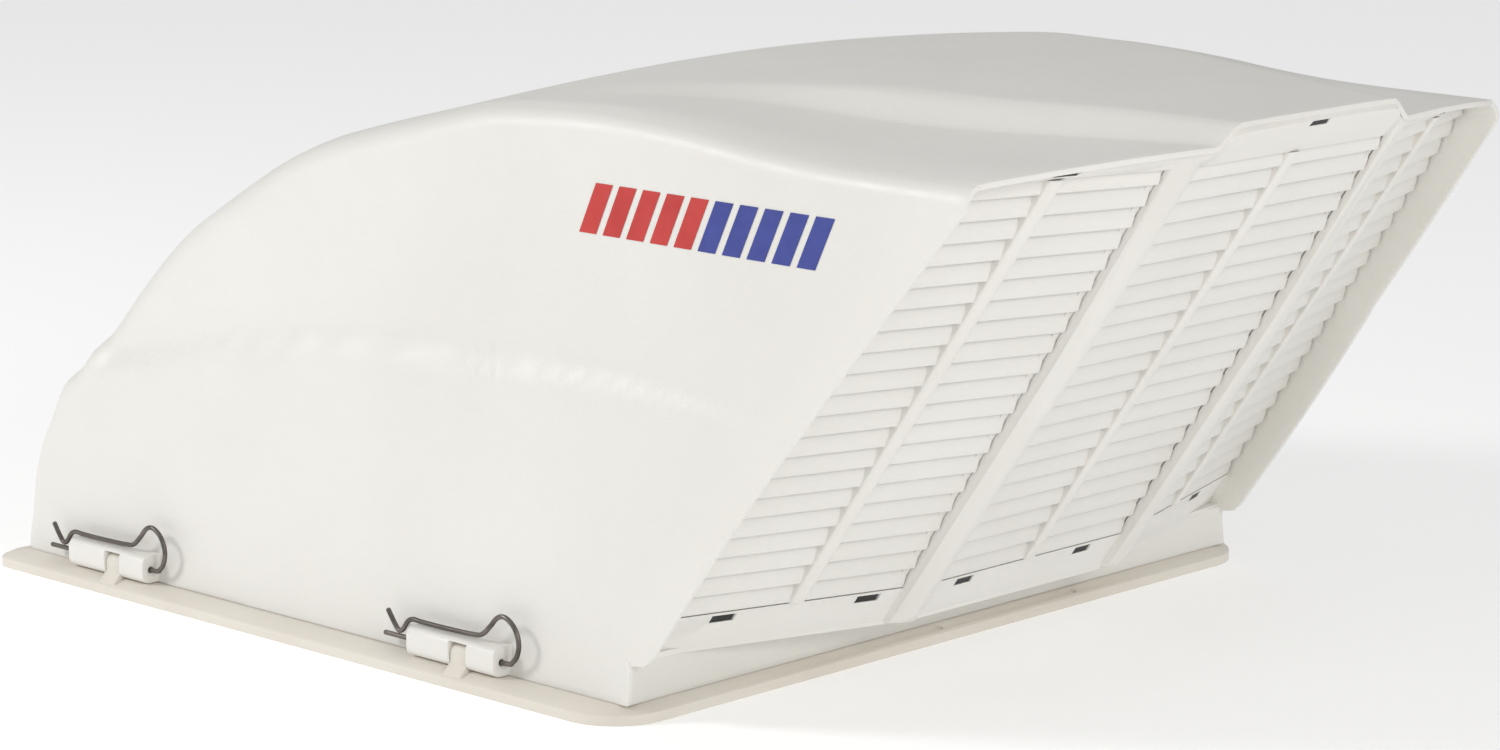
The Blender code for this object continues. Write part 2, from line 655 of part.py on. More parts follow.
# ---- Insect screens ----------------------------------------------------------------------------
def screen(name, inner, outer, tab_xs, top_x, top_key, pivot, parts, cutters):
    """A moulded frame with tabs that snap through the hood's slots, and the gauze inside it."""
    low, high = SCREEN_Z
    frame = rear_bar(f"screen_frame_{name}", (inner, outer), slab(*SCREEN_DEPTH, low, high), parts)
    root = SCREEN_DEPTH[1] - TAB_ROOT
    tabs = []
    half = WINDOW_WIDTH / 2.0 - 2.0 * TAB_CLEARANCE
    section = slab(root, TAB_RECESS, WINDOW_Z[0] + TAB_CLEARANCE, WINDOW_Z[1] - TAB_CLEARANCE)
    for x in tab_xs:
        tabs.append(rear_bar("tab", (x - half, x + half), section, cutters))
    half = TOP_WINDOW_WIDTH / 2.0 - 2.0 * TAB_CLEARANCE
    tab_low = TOP_WINDOW_Z[top_key][0] + TAB_CLEARANCE
    tab_high = TOP_WINDOW_Z[top_key][1] - TAB_CLEARANCE
    ends = (top_x - half, top_x + half)
    tabs.append(rear_bar("top_tab", ends, slab(root, TOP_TAB_RECESS, tab_low, tab_high), cutters))
    tabs.append(rear_bar("tab_root", ends, slab(*SCREEN_DEPTH, high - TAB_ROOT, tab_high), cutters))
    combine(frame, tabs, "UNION")
    opening = rear_bar("opening", inset_stops(inner, outer, SCREEN_BORDER),
                       slab(-0.03, 0.0, low + SCREEN_BORDER, high - SCREEN_BORDER), cutters)
    combine(frame, [opening], "DIFFERENCE")
    finish(frame, "screen", pivot)
    inset = SCREEN_BORDER + GAP
    gauze = rear_bar(f"screen_mesh_{name}", inset_stops(inner, outer, inset),
                     slab(*MESH_DEPTH, low + inset, high - inset), parts)
    finish(gauze, "gauze", pivot)


# ---- Clips -------------------------------------------------------------------------------------
def clip(name, side, station, parts):
    """A spring wire: a straight leg through the block and lug, and a bent arm over the block."""
    curve = bpy.data.curves.new(name, "CURVE")
    curve.dimensions = "3D"
    curve.bevel_depth = WIRE / 2.0
    curve.bevel_resolution = 2
    curve.use_fill_caps = True
    spline = curve.splines.new("POLY")
    spline.points.add(len(CLIP_SHAPE) - 1)
    for point, (back, up) in zip(spline.points, CLIP_SHAPE):
        point.co = (0.0, back, up, 1.0)
    obj = bpy.data.objects.new(name, curve)
    parts.objects.link(obj)
    obj.location = (side * PIN_X, station + CLIP_TIP, PIN_Z)
    curve.materials.append(material("steel"))
    return obj


def main():
    for obj in list(bpy.data.objects):
        bpy.data.objects.remove(obj, do_unlink=True)
    parts = bpy.data.collections.new(OBJECT_NAME)
    cutters = bpy.data.collections.new("cutters")
    for collection in (parts, cutters):
        bpy.context.scene.collection.children.link(collection)

    base_flange(parts, cutters)
    pivot = bpy.data.objects.new("hood_pivot", None)
    pivot.location = (-PIN_X, 0.0, PIN_Z)
    bpy.context.scene.collection.objects.link(pivot)
    hood_shell(pivot, parts, cutters)
    louvre_panel("louvre_panel_centre", -0.090, 0.090, 0.0, pivot, parts, cutters)
    screen("centre", -0.084, 0.084, WINDOW_X["centre"], 0.0, "centre", pivot, parts, cutters)
    for name, side in SIDES:
        louvre_panel(f"louvre_panel_{name}", side * 0.101, (side, 0.0), side * MULLION_X,
                     pivot, parts, cutters)
        screen(name, side * 0.108, (side, 0.004), [side * x for x in WINDOW_X["side"]], side * MULLION_X,
               "side", pivot, parts, cutters)
        for place, y in STATIONS:
            clip(f"clip_{name}_{place}", side, y, parts)


main()
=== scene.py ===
"""The looks of the roof vent cover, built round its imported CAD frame.

Metres, +Z up, in the frame of the CAD. The hood, louvres, flange, gauze and clips are finer meshes that
stand for their CAD nodes; the screen frames keep theirs.
"""

import json
import math

import bmesh
import bpy
from mathutils import Matrix, Vector

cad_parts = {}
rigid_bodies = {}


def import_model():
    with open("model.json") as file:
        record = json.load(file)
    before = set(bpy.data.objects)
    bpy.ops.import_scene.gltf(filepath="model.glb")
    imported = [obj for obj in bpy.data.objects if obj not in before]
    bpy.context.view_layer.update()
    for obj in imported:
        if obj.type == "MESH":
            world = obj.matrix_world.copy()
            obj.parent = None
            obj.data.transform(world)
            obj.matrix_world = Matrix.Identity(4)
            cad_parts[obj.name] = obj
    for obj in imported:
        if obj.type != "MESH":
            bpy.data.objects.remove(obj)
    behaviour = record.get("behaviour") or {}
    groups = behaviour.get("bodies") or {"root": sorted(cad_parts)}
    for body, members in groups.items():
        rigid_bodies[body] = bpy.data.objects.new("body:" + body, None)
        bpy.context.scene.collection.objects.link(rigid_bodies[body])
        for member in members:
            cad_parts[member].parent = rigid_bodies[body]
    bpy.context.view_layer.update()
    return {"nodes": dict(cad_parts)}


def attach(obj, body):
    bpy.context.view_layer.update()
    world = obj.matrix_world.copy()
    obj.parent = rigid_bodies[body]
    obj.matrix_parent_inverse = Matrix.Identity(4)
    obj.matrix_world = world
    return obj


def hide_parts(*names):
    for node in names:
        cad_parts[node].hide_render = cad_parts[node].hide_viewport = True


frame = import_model()

SIDES = (("left", 1.0), ("right", -1.0))

# ---- Base flange -------------------------------------------------------------------------------
FLANGE_HALF_X = 0.288
FLANGE_FRONT = -0.4085
FLANGE_REAR = 0.154
FLANGE_FRONT_CORNER = 0.013
FLANGE_REAR_CORNER = 0.036
FLANGE_INNER_CORNER = 0.004
FLANGE_TOP = 0.010
CORNER_STEPS = 16
# Distance in from the outer edge, and height, going round the moulded section.
FLANGE_SECTION = (
    (0.0, 0.0), (0.0, 0.0058), (0.001, 0.0068), (0.0085, FLANGE_TOP), (0.034, FLANGE_TOP), (0.034, 0.026),
    (0.037, 0.026), (0.037, 0.003), (0.050, 0.003), (0.050, 0.0), (0.034, 0.0),
    (0.034, 0.007), (0.0095, 0.007), (0.003, 0.0045), (0.003, 0.0),
)
SCREW_HOLE = 0.0045
HOLE_DEPTH = 0.012
SIDE_SCREW_X = 0.261
SIDE_SCREW_Y = (-0.205, -0.1255, -0.046)
FRONT_SCREW_X = (-0.128, 0.0, 0.128)
FRONT_SCREW_Y = -0.3885
REAR_SCREW_X = (-0.112, 0.0125)
REAR_SCREW_Y = 0.1495

# ---- Clips, their lugs on the flange and their blocks on the hood -------------------------------
PIN_X = 0.2765
PIN_Z = 0.019
STATIONS = (("front", -0.2945), ("rear", 0.0205))
PIN_BORE = 0.0042
LUG_WIDTH = 0.014
LUG_RADIUS = 0.005
LUG_FOOT_X = 0.2868
LUG_FROM = 0.006
# How far a block reaches in front of the lug's middle, and behind it.
BLOCK_ENDS = (-0.0425, 0.0305)
BORE_LENGTH = 0.100
ROUND_SIDES = 32
BLOCK_INNER_X = 0.2668
BLOCK_OUTER_X = 0.283
BLOCK_BOTTOM = 0.0108
BLOCK_TOP = 0.028
BLOCK_EDGE = 0.005
NOTCH_INNER_X = 0.2709
NOTCH_OUTER_X = 0.300
NOTCH_CEILING = 0.026
NOTCH_GAP = 0.0006
WIRE = 0.0030
WIRE_SIDES = 14
WIRE_STEPS = 6
# Radius, as a share of the wire's, of each ring at a rounded tip, and the rings' spacing in radii.
TIP_RINGS = (0.6, 0.9, 1.0)
TIP_SPACING = 0.3
CLIP_TIP = -0.0685
# Distance back from the leg's tip, and height over the leg, along the wire.
CLIP_SHAPE = (
    (0.0, 0.0), (0.035, 0.0), (0.070, 0.0), (0.1025, 0.0), (0.1085, 0.0020), (0.1125, 0.0075),
    (0.1132, 0.0150), (0.1095, 0.0225), (0.1025, 0.0268), (0.0960, 0.0255), (0.0900, 0.0195),
    (0.0840, 0.0142), (0.0770, 0.0124), (0.0520, 0.0117), (0.0320, 0.0117), (0.0250, 0.0120),
    (0.0205, 0.0100), (0.0160, 0.0045), (0.0125, 0.0034), (0.0085, 0.0072), (0.0030, 0.0147),
)

# ---- Hood --------------------------------------------------------------------------------------
SKIN = 0.003
GAP = 0.0003
HOOD_FOOT = FLANGE_TOP + GAP
TRIM_FROM = 0.006
SKIRT_REAR = 0.145
SKIRT_TOP = 0.0325
SKIRT_HALF_X = 0.268
# Where the nose, seen from the side, runs: distance along Y and height.
NOSE = (
    (-0.4020, TRIM_FROM), (-0.4040, 0.018), (-0.4025, 0.030), (-0.3975, 0.059),
    (-0.3905, 0.079), (-0.3815, 0.098), (-0.3725, 0.118), (-0.3640, 0.126), (-0.3565, 0.131),
    (-0.3485, 0.141), (-0.3325, 0.160), (-0.3045, 0.192), (-0.2705, 0.224), (-0.2355, 0.247),
    (-0.1835, 0.277), (-0.1455, 0.2925), (-0.1075, 0.3035),
)
RIDGE = (
    (-0.1455, 0.2925), (-0.1075, 0.3035), (-0.0525, 0.3170), (-0.0045, 0.3270), (0.0385, 0.3305),
    (0.0865, 0.3320), (0.1335, 0.3305), (0.1715, 0.3280), (0.2195, 0.3235), (0.2665, 0.3210),
    (0.3615, 0.3200),
)
NOSE_SHARE = 0.48
FOOT_SHARE = 0.06
CORNER_RADIUS = ((0.0, 0.014), (0.12, 0.015), (0.25, 0.024), (0.48, 0.022), (0.62, 0.014), (1.0, 0.012))
# The wall's lower edge between its ends: share of the way along the hood, distance along Y, height.
WALL_FOOT = (
    (0.50, SKIRT_REAR, TRIM_FROM), (0.53, SKIRT_REAR, SKIRT_TOP), (0.55, 0.1560, 0.0345),
    (0.57, 0.1615, 0.0395), (0.80, 0.2645, 0.181),
)
HALF_WIDTH = ((0.006, 0.2712), (0.038, 0.2662), (0.110, 0.2635), (0.181, 0.2590), (0.250, 0.2505),
              (0.320, 0.2390))
CREASE = (
    (-0.3685, 0.116), (-0.3585, 0.123), (-0.3335, 0.136), (-0.2315, 0.158), (-0.1395, 0.174),
    (-0.0515, 0.182), (0.1125, 0.188), (0.1905, 0.185), (0.2645, 0.178), (0.3615, 0.170),
)
CREASE_INSET = ((-0.400, 0.0070), (-0.100, 0.0070), (0.120, 0.0055), (0.200, 0.0030), (0.262, 0.0012))
CREASE_SOFTNESS = 0.009
BAND_BULGE = 0.003
SHOULDER_X = 0.239
REAR_EDGE = ((0.0, 0.4085), (0.070, 0.4065), (0.088, 0.4035), (SHOULDER_X, 0.3615))
CROWN = ((-0.262, 0.0), (-0.205, 0.0035), (-0.150, 0.0065), (-0.0745, 0.0085), (0.0155, 0.014),
         (0.1155, 0.014), (0.2155, 0.012), (0.4085, 0.0104))
HUMP = ((0.0155, 0.0), (0.0655, 0.0026), (0.1155, 0.005), (0.1655, 0.009), (0.2155, 0.014),
        (0.3155, 0.014), (0.4085, 0.011))
HUMP_EDGE = ((-0.0555, 0.200), (0.0355, 0.195), (0.1445, 0.158), (0.2555, 0.125), (0.3585, 0.090),
             (0.4085, 0.078))
HUMP_STEP = ((0.0155, 0.036), (0.1655, 0.024), (0.4085, 0.018))

# ---- Louvred rear ------------------------------------------------------------------------------
LOUVRE_Y = 0.2035
LOUVRE_Z = 0.054
LOUVRE_LEAN = 0.71
LOUVRE_SWEEP = 0.311
PANEL_EDGE_X = 0.088
BAND_TOP = 0.0575
TOP_BAND_BOTTOM = 0.3167
# How far the band over the louvres bulges out near its top, over the distance from the middle.
TOP_BAND_PROUD = ((0.0, 0.0047), (0.070, 0.0047), (0.171, 0.0049), (0.231, 0.0050))
TOP_BAND_SHOULDER = 0.004
TOP_BAND_STOPS = (0.035, 0.066, 0.072, 0.078, 0.084, 0.090, 0.130, 0.171, 0.205, 0.227, 0.231)
TOP_CORNER_X = 0.227
PILLAR_X = (0.087, 0.104)
PILLAR_PROUD = 0.010
PILLAR_TOP_PROUD = 0.003
PILLAR_ROUND = 0.004
PILLAR_BACK = -0.0025
SOFFIT = 0.0335
SOFFIT_HALF_X = 0.2655
SOFFIT_TURN_X = 0.2292
SOFFIT_LAP = 0.004
SLATS = 21
SLAT_PITCH = 0.0125
SLAT_FIRST = 0.058
SLAT_HEIGHT = 0.014
SLAT_LEAN = 0.006
SLAT_THICK = 0.002
SLAT_LIP_STEPS = 6
# How far a blade has leaned in by half its height, as a share of its whole lean.
SLAT_BELLY = 0.35
MULLION = 0.009
MULLION_PROUD = 0.0025
MULLION_STEPS = 8
MULLION_SHOULDER = 0.25
MULLION_X = 0.1715
PANEL_DEPTH = (-0.012, -0.0033)
PANEL_Z = (0.058, 0.3163)
STILE = 0.007
RAIL = 0.0033
SLAT_INSET = 0.004
SLAT_WALL_INSET = 0.0005
WINDOW_X = {"centre": (-0.0535, 0.0535), "side": (0.124, 0.2135)}
WINDOW_WIDTH = 0.015
WINDOW_Z = (0.0513, 0.0558)
TOP_WINDOW_WIDTH = 0.016
TOP_WINDOW_Z = {"centre": (0.3325, 0.3356), "side": (0.3187, 0.3216)}
WINDOW_DEPTH = (-0.008, 0.012)

# ---- Insect screens ----------------------------------------------------------------------------
SCREEN_Z = (0.050, 0.3155)
SCREEN_BORDER = 0.010
MESH_DEPTH = (-0.0172, -0.0164)
STRAND_PITCH = 0.0025
STRAND_HALF = 0.00016
# How far the upright strands lie over the level ones, in half strands.
STRAND_LIFT = 1.8



# ---- Helpers -----------------------------------------------------------------------------------
def curve_value(knots, x):
    """The value at x of a smooth curve through knots, which are (x, value) pairs."""
    if x <= knots[0][0]:
        return knots[0][1]
    if x >= knots[-1][0]:
        return knots[-1][1]
    i = max(k for k in range(len(knots) - 1) if knots[k][0] <= x)
    before = knots[max(i - 1, 0)]
    start = knots[i]
    end = knots[i + 1]
    after = knots[min(i + 2, len(knots) - 1)]
    span = end[0] - start[0]
    t = (x - start[0]) / span
    slope_in = span * (end[1] - before[1]) / (end[0] - before[0])
    slope_out = span * (after[1] - start[1]) / (after[0] - start[0])
    return (
        (2 * t ** 3 - 3 * t ** 2 + 1) * start[1] + (t ** 3 - 2 * t ** 2 + t) * slope_in
        + (3 * t ** 2 - 2 * t ** 3) * end[1] + (t ** 3 - t ** 2) * slope_out
    )


def straight_value(knots, x):
    """The value at x of straight lines through knots, which are (x, value) pairs."""
    for (x0, v0), (x1, v1) in zip(knots, knots[1:]):
        if x <= x1:
            return v0 + (v1 - v0) * max(x - x0, 0.0) / (x1 - x0)
    return knots[-1][1]


def smooth_step(t):
    """Rise from 0 to 1 as t does."""
    t = min(max(t, 0.0), 1.0)
    return t * t * (3.0 - 2.0 * t)


def new_object(name, bm, collection):
    """Put a bmesh in the scene as an object."""
    mesh = bpy.data.meshes.new(name)
    bm.to_mesh(mesh)
    bm.free()
    obj = bpy.data.objects.new(name, mesh)
    collection.objects.link(obj)
    return obj


def loft(name, sections, collection, ring=False, open_sheet=False):
    """Skin a row of sections that have the same number of points.

    ring joins the last section to the first; open_sheet leaves the sections and the ends open.
    """
    bm = bmesh.new()
    rows = [[bm.verts.new(point) for point in section] for section in sections]
    pairs = list(zip(rows, rows[1:]))
    if ring:
        pairs.append((rows[-1], rows[0]))
    for row, after in pairs:
        size = len(row)
        for i in range(size - 1 if open_sheet else size):
            j = (i + 1) % size
            bm.faces.new((row[i], after[i], after[j], row[j]))
    if not ring and not open_sheet:
        bm.faces.new(rows[0])
        bm.faces.new(rows[-1])
    if open_sheet:
        bmesh.ops.remove_doubles(bm, verts=bm.verts, dist=0.00001)
    else:
        bmesh.ops.recalc_face_normals(bm, faces=bm.faces)
    return new_object(name, bm, collection)


def box(name, low, high, collection):
    """A box between two corners."""
    bm = bmesh.new()
    bmesh.ops.create_cube(bm, size=1.0)
    low = Vector(low)
    high = Vector(high)
    bmesh.ops.scale(bm, vec=high - low, verts=bm.verts)
    bmesh.ops.translate(bm, vec=(low + high) / 2.0, verts=bm.verts)
    return new_object(name, bm, collection)


def rod(name, centre, diameter, length, axis, collection, sides=20):
    """A cylinder along Y or Z."""
    bm = bmesh.new()
    turn = Matrix.Rotation(math.radians(90.0), 4, "X") if axis == "Y" else Matrix.Identity(4)
    bmesh.ops.create_cone(
        bm, cap_ends=True, segments=sides, radius1=diameter / 2.0, radius2=diameter / 2.0,
        depth=length, matrix=Matrix.Translation(centre) @ turn,
    )
    return new_object(name, bm, collection)


def combine(target, tools, operation):
    """Join tools to the target, or cut them from it, in one exact Boolean."""
    group = bpy.data.collections.new(f"{target.name}_{operation.lower()}")
    cutters_home.children.link(group)
    for tool in tools:
        for holder in list(tool.users_collection):
            holder.objects.unlink(tool)
        group.objects.link(tool)
        tool.hide_render = True
        tool.display_type = "WIRE"
    boolean = target.modifiers.new(operation.lower(), "BOOLEAN")
    boolean.operation = operation
    boolean.operand_type = "COLLECTION"
    boolean.collection = group
    boolean.solver = "EXACT"


def rounded_rectangle(inset, height):
    """Points round the flange at a distance in from its outer edge."""
    front = max(FLANGE_FRONT_CORNER - inset, FLANGE_INNER_CORNER)
    rear = max(FLANGE_REAR_CORNER - inset, FLANGE_INNER_CORNER)
    half_x = FLANGE_HALF_X - inset
    corners = (
        (1.0, FLANGE_REAR - inset - rear, rear, 0), (-1.0, FLANGE_REAR - inset - rear, rear, 90),
        (-1.0, FLANGE_FRONT + inset + front, front, 180), (1.0, FLANGE_FRONT + inset + front, front, 270),
    )
    points = []
    for side, y, radius, start in corners:
        x = side * (half_x - radius)
        for i in range(CORNER_STEPS + 1):
            angle = math.radians(start + 90.0 * i / CORNER_STEPS)
            points.append((x + radius * math.cos(angle), y + radius * math.sin(angle), height))
    return points


def lug(side, y, collection):
    """The eye on the flange that a clip's leg passes through, round over the pin."""
    steps = 10
    outline = [(PIN_X - LUG_RADIUS, LUG_FROM)]
    for i in range(steps + 1):
        angle = math.pi - math.pi * i / steps
        outline.append((PIN_X + LUG_RADIUS * math.cos(angle), PIN_Z + LUG_RADIUS * math.sin(angle)))
    outline += [(PIN_X + LUG_RADIUS, 0.0135), (LUG_FOOT_X, 0.0082), (LUG_FOOT_X, LUG_FROM)]
    ends = (y - LUG_WIDTH / 2.0, y + LUG_WIDTH / 2.0)
    return loft("lug", [[(side * x, end, z) for x, z in outline] for end in ends], collection)


# ---- Hood surface ------------------------------------------------------------------------------
def nose_path():
    """The nose as two smooth curves, Y and height, over the distance along it."""
    distance = 0.0
    along_y = [(0.0, NOSE[0][0])]
    along_z = [(0.0, NOSE[0][1])]
    for before, after in zip(NOSE, NOSE[1:]):
        distance += math.dist(before, after)
        along_y.append((distance, after[0]))
        along_z.append((distance, after[1]))
    return along_y, along_z, distance


NOSE_Y, NOSE_Z, NOSE_LENGTH = nose_path()


def corner_line(share):
    """The line where the side wall would meet the top: Y and height at a share of the way back."""
    if share < NOSE_SHARE:
        distance = NOSE_LENGTH * share / NOSE_SHARE
        return Vector((curve_value(NOSE_Y, distance), curve_value(NOSE_Z, distance)))
    y = NOSE[-1][0] + (RIDGE[-1][0] - NOSE[-1][0]) * (share - NOSE_SHARE) / (1.0 - NOSE_SHARE)
    return Vector((y, curve_value(RIDGE, y)))


def corner_normal(share):
    """The outward direction of the corner line, seen from the side."""
    step = 0.004
    along = corner_line(min(share + step, 1.0)) - corner_line(max(share - step, 0.0))
    normal = Vector((-along.y, along.x)).normalized()
    upright = Vector((-1.0, 0.0))
    return upright.lerp(normal, smooth_step(share / FOOT_SHARE)).normalized()


def half_width(y, z):
    """How far the outside of the side wall is from the middle."""
    crease = curve_value(CREASE, y)
    above = smooth_step((z - crease) / CREASE_SOFTNESS + 0.5)
    roof = max(curve_value(RIDGE, y), crease + 0.05)
    inset = curve_value(CREASE_INSET, y) * max(1.0 - (z - crease) / (roof - crease), 0.0)
    bulge = BAND_BULGE * math.sin(math.pi * min(max((z - 0.02) / (crease - 0.02), 0.0), 1.0))
    return curve_value(HALF_WIDTH, z) + bulge * (1.0 - above) - inset * above


def crown_height(x, y):
    """How much the nose and the top rise across their width."""
    return curve_value(CROWN, y) * max(1.0 - (x / SHOULDER_X) ** 2, 0.0)


def top_height(x, y):
    """The height of the top: the ridge line, a crown across it, and the raised middle."""
    x = abs(x)
    step = curve_value(HUMP_STEP, y)
    hump = curve_value(HUMP, y) * smooth_step((curve_value(HUMP_EDGE, y) + step / 2.0 - x) / step)
    return curve_value(RIDGE, y) + crown_height(x, y) + hump


def wall_top(share):
    """The upper edge of the side wall, where the round corner starts."""
    return corner_line(share) - corner_normal(share) * curve_value(CORNER_RADIUS, share)


def wall_foot(share):
    """The lower edge of the side wall, which meets its upper edge at both ends."""
    knots = [(0.0, *wall_top(0.0)), *WALL_FOOT, (1.0, *wall_top(1.0))]
    y = straight_value([(knot[0], knot[1]) for knot in knots], share)
    z = straight_value([(knot[0], knot[2]) for knot in knots], share)
    return Vector((y, z))


def hood_section(share, wall_steps, arc_steps, top_steps):
    """Points up the +X wall, round the corner and across the top to the middle."""
    corner = corner_line(share)
    normal = corner_normal(share)
    radius = curve_value(CORNER_RADIUS, share)
    foot = wall_foot(share)
    top = wall_top(share)
    points = []
    for i in range(wall_steps):
        y, z = foot.lerp(top, i / wall_steps)
        points.append((half_width(y, z), y, z))
    edge_x = half_width(*top) - radius
    back = smooth_step((share - NOSE_SHARE) / (1.0 - NOSE_SHARE))
    for i in range(arc_steps):
        angle = math.radians(90.0 * i / arc_steps)
        y, z = corner - normal * radius * (1.0 - math.sin(angle))
        points.append((edge_x + radius * math.cos(angle), y, z))
    step_x = curve_value(HUMP_EDGE, corner.x)
    half_step = curve_value(HUMP_STEP, corner.x) / 2.0
    foot_x = step_x + half_step
    head_x = step_x - half_step
    stops = ((edge_x, foot_x), (foot_x, head_x), (head_x, 0.0))
    for (start, end), steps in zip(stops, top_steps):
        for i in range(steps):
            points.append(top_point(start + (end - start) * i / steps, corner, share, back))
    points.append(top_point(0.0, corner, share, back))
    return points


def top_point(x, corner, share, back):
    """A point on the nose or the top at a distance from the middle."""
    if share <= NOSE_SHARE:
        return (x, corner.x, corner.y + crown_height(x, corner.x))
    y = corner.x + back * (straight_value(REAR_EDGE, x) - REAR_EDGE[-1][1])
    return (x, y, top_height(x, y))


def rear_point(x, depth, z):
    """A point on the louvred rear; depth is outward from its plane, along Y."""
    sweep = LOUVRE_SWEEP * max(abs(x) - PANEL_EDGE_X, 0.0)
    return (x, LOUVRE_Y + LOUVRE_LEAN * (z - LOUVRE_Z) - sweep + depth, z)


def wall_inside(z):
    """Where the side panels end, just inside the side wall and its round upper corner."""
    y = rear_point(SHOULDER_X, 0.0, z)[1]
    radius = CORNER_RADIUS[-1][1] - SKIN - 2.0 * GAP
    rise = min(max(z - (RIDGE[-1][1] - CORNER_RADIUS[-1][1]), 0.0), radius)
    round_off = radius - math.sqrt(radius ** 2 - rise ** 2)
    return half_width(y, z) - SKIN - 4.0 * GAP - round_off


def rear_bar(name, stops, section, collection):
    """A bar across the rear: one (depth, height) section, placed at each stop along X.

    A stop is a distance, or a pair of a side and a distance in from the side wall.
    """
    rows = []
    for stop in stops:
        row = []
        for depth, z in section:
            x = stop[0] * (wall_inside(z) - stop[1]) if isinstance(stop, tuple) else stop
            row.append(rear_point(x, depth, z))
        rows.append(row)
    return loft(name, rows, collection)


def slab(low_depth, high_depth, low_z, high_z):
    """A rectangular section for a rear bar."""
    return ((low_depth, low_z), (high_depth, low_z), (high_depth, high_z), (low_depth, high_z))


def top_band(collection):
    """The band over the louvres, which bulges out and goes up into the skin of the top."""
    radius = CORNER_RADIUS[-1][1]
    rows = []
    for x in (*(-stop for stop in reversed(TOP_BAND_STOPS)), 0.0, *TOP_BAND_STOPS):
        past = max(abs(x) - TOP_CORNER_X, 0.0)
        drop = radius - math.sqrt(radius ** 2 - past ** 2)
        edge = straight_value(REAR_EDGE, abs(x))
        high = top_height(x, edge) - SKIN / 2.0 - drop
        reach = edge - SKIN / 2.0 - rear_point(x, 0.0, high)[1]
        proud = straight_value(TOP_BAND_PROUD, abs(x))
        shoulder = max(high - TOP_BAND_SHOULDER, TOP_BAND_BOTTOM + TOP_BAND_SHOULDER / 4.0)
        section = ((-SKIN, TOP_BAND_BOTTOM), (0.0, TOP_BAND_BOTTOM), (proud, shoulder), (reach, high),
                   (-SKIN, high))
        rows.append([rear_point(x, depth, z) for depth, z in section])
    return loft("top_band", rows, collection)


def pillar(side, collection):
    """A rounded rib between two panels, prouder at its foot than at its top."""
    inner, outer = PILLAR_X
    rows = []
    for x, drop in ((inner, PILLAR_ROUND), (inner + PILLAR_ROUND, 0.0), (outer - PILLAR_ROUND, 0.0),
                    (outer, PILLAR_ROUND)):
        foot = PILLAR_PROUD - drop
        head = PILLAR_TOP_PROUD - 0.5 * drop
        section = ((PILLAR_BACK, 0.0350), (foot - 0.002, 0.0350), (foot, 0.040), (foot, 0.200),
                   (head, 0.3270), (PILLAR_BACK, 0.3270))
        rows.append([rear_point(side * x, depth, z) for depth, z in section])
    return loft("pillar", rows, collection)


def soffit(collection):
    """The shelf that joins the skirt's top to the foot of the louvres, whichever of them is further back."""
    high = SOFFIT + SKIN
    rows = []
    for x in (-SOFFIT_HALF_X, -SOFFIT_TURN_X, -PANEL_EDGE_X, PANEL_EDGE_X, SOFFIT_TURN_X, SOFFIT_HALF_X):
        foot = rear_point(x, 0.0, SOFFIT)[1]
        back = max(foot + SOFFIT_LAP / 2.0, SKIRT_REAR - SKIN / 2.0)
        front = min(foot - SOFFIT_LAP, SKIRT_REAR - SKIN)
        rows.append([(x, front, SOFFIT), (x, back, SOFFIT), (x, back, high), (x, front, high)])
    return loft("soffit", rows, collection)


def windows(collection):
    """Cutters for the slots that the screens' tabs snap into."""
    made = []
    for key, xs in WINDOW_X.items():
        spots = xs if key == "centre" else [side * x for x in xs for _, side in SIDES]
        tops = (0.0,) if key == "centre" else [side * MULLION_X for _, side in SIDES]
        for x in spots:
            stops = (x - WINDOW_WIDTH / 2.0, x + WINDOW_WIDTH / 2.0)
            made.append(rear_bar("window", stops, slab(*WINDOW_DEPTH, *WINDOW_Z), collection))
        for x in tops:
            stops = (x - TOP_WINDOW_WIDTH / 2.0, x + TOP_WINDOW_WIDTH / 2.0)
            made.append(rear_bar("top_window", stops, slab(*WINDOW_DEPTH, *TOP_WINDOW_Z[key]), collection))
    return made


def hinge_block(side, y, collection):
    """The boss on the hood's wall that a clip's leg passes through."""
    low = (BLOCK_INNER_X, y + BLOCK_ENDS[0], BLOCK_BOTTOM)
    high = (BLOCK_OUTER_X, y + BLOCK_ENDS[1], BLOCK_TOP)
    block = box("block", low, high, collection)
    bm = bmesh.new()
    bm.from_mesh(block.data)
    outer = [edge for edge in bm.edges if all(v.co.x > PIN_X for v in edge.verts)
             and abs(edge.verts[0].co.y - edge.verts[1].co.y) > 0.01]
    bmesh.ops.bevel(bm, geom=outer, offset=BLOCK_EDGE, segments=4, profile=0.5, affect="EDGES")
    bmesh.ops.scale(bm, vec=(side, 1.0, 1.0), verts=bm.verts)
    bmesh.ops.recalc_face_normals(bm, faces=bm.faces)
    bm.to_mesh(block.data)
    bm.free()
    return block


def notch(side, y, collection):
    """The space in a block that the flange's lug stands in."""
    half = LUG_WIDTH / 2.0 + NOTCH_GAP
    ends = sorted((side * NOTCH_INNER_X, side * NOTCH_OUTER_X))
    return box("notch", (ends[0], y - half, 0.0), (ends[1], y + half, NOTCH_CEILING), collection)


def inset_stops(inner, outer, distance):
    """Both ends of a panel, moved in by a distance; the outer one may be a place on a side wall."""
    if isinstance(outer, tuple):
        return (inner + outer[0] * distance, (outer[0], outer[1] + distance))
    return (inner + distance, outer - distance)


# ---- Making the pieces -------------------------------------------------------------------------
BEVEL_FROM_DEGREES = 50.0
FLANGE_BEVEL = 0.0006
HOOD_BEVEL = 0.0007
